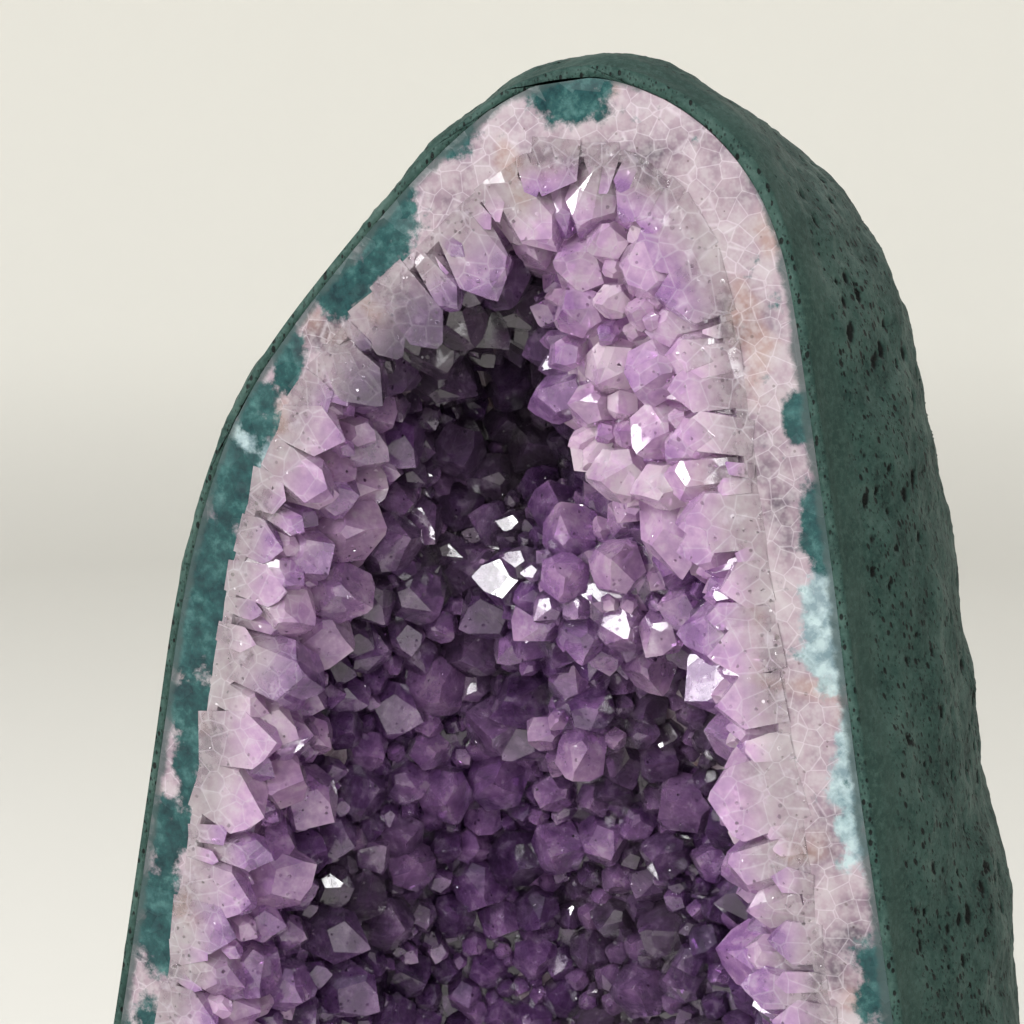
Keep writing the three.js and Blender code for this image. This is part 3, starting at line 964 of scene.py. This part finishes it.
# %% The amethyst's finish
def amethyst_finish():
    material, tree, shader, place = finish("amethyst")
    height = add(tree, "Attribute", attribute_name="rise").outputs["Fac"]
    own = add(tree, "Attribute", attribute_name="tone").outputs["Fac"]
    split = add(tree, "SeparateXYZ", {"Vector": place})
    depth = sums(tree, "SUBTRACT", split.outputs["Y"], FRONT)
    # Near the saw cut a crystal is darker towards its tip, which is its own colour. Deeper than 20 mm
    # this turns round: the roots are painted darker and the tips paler, as painted shade between the
    # crowded crystals.
    tip_colour_and_root_shade = between(tree, depth, 0.005, 0.020, 0.32, -0.34)
    strength = sums(tree, "ADD", own, sums(tree, "MULTIPLY", sums(tree, "SUBTRACT", height, 0.5), tip_colour_and_root_shade))
    veil = clouds(tree, place, 260, 3, 0.65)
    strength = sums(tree, "ADD", strength, between(tree, veil, 0.3, 0.7, 0.1, -0.1), clamp=True)
    colour = ramp(tree, strength, (0.0, (0.84, 0.67, 0.78)), (0.22, (0.68, 0.43, 0.68)),
                  (0.48, (0.38, 0.19, 0.46)), (0.7, (0.15, 0.065, 0.21)), (1.0, (0.03, 0.014, 0.045)))
    clear = sums(tree, "SUBTRACT", 1.0, sums(tree, "MULTIPLY", strength, 0.85))
    smoky = add(tree, "Attribute", attribute_name="smoke").outputs["Fac"]
    colour = mix(tree, sums(tree, "MULTIPLY", smoky, strength), colour, (0.11, 0.085, 0.11))
    tilt = between(tree, depth, 0.001, 0.010, 0.30, 0.12)
    grown = add(tree, "Group", {"Place": place, "Scale": 210.0, "Tilt": tilt}, node_tree=grains)
    face = between(tree, depth, 0.006, 0.0005)
    sugar = add(tree, "Group", {"Place": place, "Light": 0.7}, node_tree=sugary).outputs["Color"]
    rooted = sums(tree, "MULTIPLY", between(tree, height, 0.75, 0.1), face)
    colour = mix(tree, rooted, colour, sugar)
    # Bright lines along the grain edges, strongest at the saw cut: partly milky veils, partly a painted
    # highlight where the grains meet.
    seam_veil_and_highlight = sums(tree, "MULTIPLY", grown.outputs["Edge"], between(tree, face, 0, 1, 0.12, 0.35))
    colour = mix(tree, sums(tree, "MULTIPLY", seam_veil_and_highlight, clear), colour, (0.88, 0.82, 0.90))
    # Painted highlight: faces seen at a grazing angle are painted paler, standing in for the sheen on
    # the crystals' edges.
    painted_grazing_highlight = add(tree, "LayerWeight", {"Blend": 0.35}).outputs["Facing"]
    painted_grazing_highlight = sums(tree, "MULTIPLY", between(tree, painted_grazing_highlight, 0.4, 0.95, 0, 0.45), clear)
    colour = mix(tree, painted_grazing_highlight, colour, (0.80, 0.68, 0.84))
    milky = sums(tree, "MULTIPLY", between(tree, veil, 0.55, 0.75, 0, 0.5), clear)
    colour = mix(tree, milky, colour, (0.76, 0.68, 0.78))
    tiny = add(tree, "Group", {"Place": place, "Scale": 900.0, "Tilt": 1.7}, node_tree=grains)
    glint = add(tree, "Group", {"Place": place, "Scale": 750.0, "Share": 0.4, "Size": 0.3},
                node_tree=specks).outputs["Mask"]
    facing = add(tree, "Mix", {0: glint, 4: grown.outputs["Normal"], 5: tiny.outputs["Normal"]},
                 data_type="VECTOR").outputs[1]
    tree.links.new(colour, shader.inputs["Base Color"])
    tree.links.new(facing, shader.inputs["Normal"])
    tree.links.new(between(tree, veil, 0.4, 0.7, 0.03, 0.18), shader.inputs["Roughness"])
    shader.inputs["Transmission Weight"].default_value = 0.6
    shader.inputs["IOR"].default_value = 1.544
    shader.inputs["Coat Weight"].default_value = 0.5
    dye = add(tree, "VolumeAbsorption", {"Color": (0.80, 0.54, 0.86, 1), "Density": 45.0})
    tree.links.new(dye.outputs["Volume"], tree.nodes["Material Output"].inputs["Volume"])
    return material


bed.data.materials.clear()
bed.data.materials.append(amethyst_finish())
print("the amethyst's finish has", len(bed.data.materials[0].node_tree.nodes), "nodes")

# %% [markdown]
# ## The studio
# The stone stands on a plain off-white floor that curves up into a wall all the way round, like a
# shallow bowl, so that every view has the same quiet background. The floor is painted a little darker
# and the wall lighter, as painted shade and painted light that even out the lamps. The light is soft
# daylight.

# %% The bowl-shaped backdrop
BOWL = 1.7
CURVE, CURVE_STEPS = 0.7, 12
WALL_TOP = 2.6
bowl = bmesh.new()
profile = [bowl.verts.new((0.001, 0, 0)), bowl.verts.new((BOWL, 0, 0))]
for i in range(1, CURVE_STEPS + 1):
    turn = math.radians(90 * i / CURVE_STEPS)
    profile.append(bowl.verts.new((BOWL + CURVE * math.sin(turn), 0, CURVE * (1 - math.cos(turn)))))
profile.append(bowl.verts.new((BOWL + CURVE, 0, WALL_TOP)))
lines = [bowl.edges.new(pair) for pair in zip(profile, profile[1:])]
bmesh.ops.spin(bowl, geom=profile + lines, cent=(0, 0, 0), axis=(0, 0, 1), angle=math.tau,
               steps=96, use_merge=True)
bmesh.ops.holes_fill(bowl, edges=[e for e in bowl.edges if e.is_boundary and e.calc_length() < 0.01])
bmesh.ops.recalc_face_normals(bowl, faces=bowl.faces)
backdrop = as_object(bowl, "backdrop")
backdrop.data.shade_smooth()
plaster, tree, shader, place = finish("plaster")
height = add(tree, "SeparateXYZ", {"Vector": place}).outputs["Z"]
# Painted shade on the floor and painted light on the wall: the lamps light the floor more than the wall,
# and this colour evens them out.
floor_shade_wall_light = mix(tree, between(tree, height, 0.0, 0.2), (0.625, 0.61, 0.57), (0.745, 0.73, 0.68))
tree.links.new(floor_shade_wall_light, shader.inputs["Base Color"])
shader.inputs["Roughness"].default_value = 0.9
backdrop.data.materials.append(plaster)
print("the backdrop is", round(2 * (BOWL + CURVE), 1), "m across")

# %% [markdown]
# ## Lights
# Daylight from a window on the left does most of the work, and weak lamps all round keep the other
# sides readable. Crystals only sparkle when their faces mirror something small and bright, so four
# small lamps are there for nothing else.

# %% Lights
MIDDLE = Vector((0, 0, 0.2))  # what every lamp points at
world = bpy.data.worlds.new("sky")
bpy.context.scene.world = world
world.use_nodes = True
world.node_tree.nodes["Background"].inputs["Color"].default_value = (0.93, 0.96, 1.0, 1)
world.node_tree.nodes["Background"].inputs["Strength"].default_value = 0.58
LAMPS = (  # name, place, size in metres, power in watts
    ("window", (-1.1, -1.4, 1.25), 0.9, 32),
    ("fill", (1.4, -1.2, 0.8), 1.2, 4),
    ("ceiling", (0.2, 0.1, 2.2), 1.0, 5),
    ("back", (0.9, 1.3, 1.3), 1.0, 5),
    ("sparkle_left", (-0.5, -1.6, 0.9), 0.28, 8),
    ("sparkle_high", (0.7, -1.3, 1.5), 0.28, 8),
    ("sparkle_low", (0.3, -1.7, 0.35), 0.28, 5),
    ("sparkle_side", (-1.4, -0.7, 0.8), 0.28, 7),
)
for name, place, size, power in LAMPS:
    lamp = bpy.data.lights.new(name, "AREA")
    lamp.size = size
    lamp.energy = power
    holder = bpy.data.objects.new(name, lamp)
    holder.location = place
    holder.rotation_euler = (MIDDLE - holder.location).to_track_quat("-Z", "Y").to_euler()
    holder.visible_camera = False
    bpy.context.collection.objects.link(holder)
bpy.context.scene.view_settings.view_transform = "Standard"
print(len(LAMPS), "lamps")
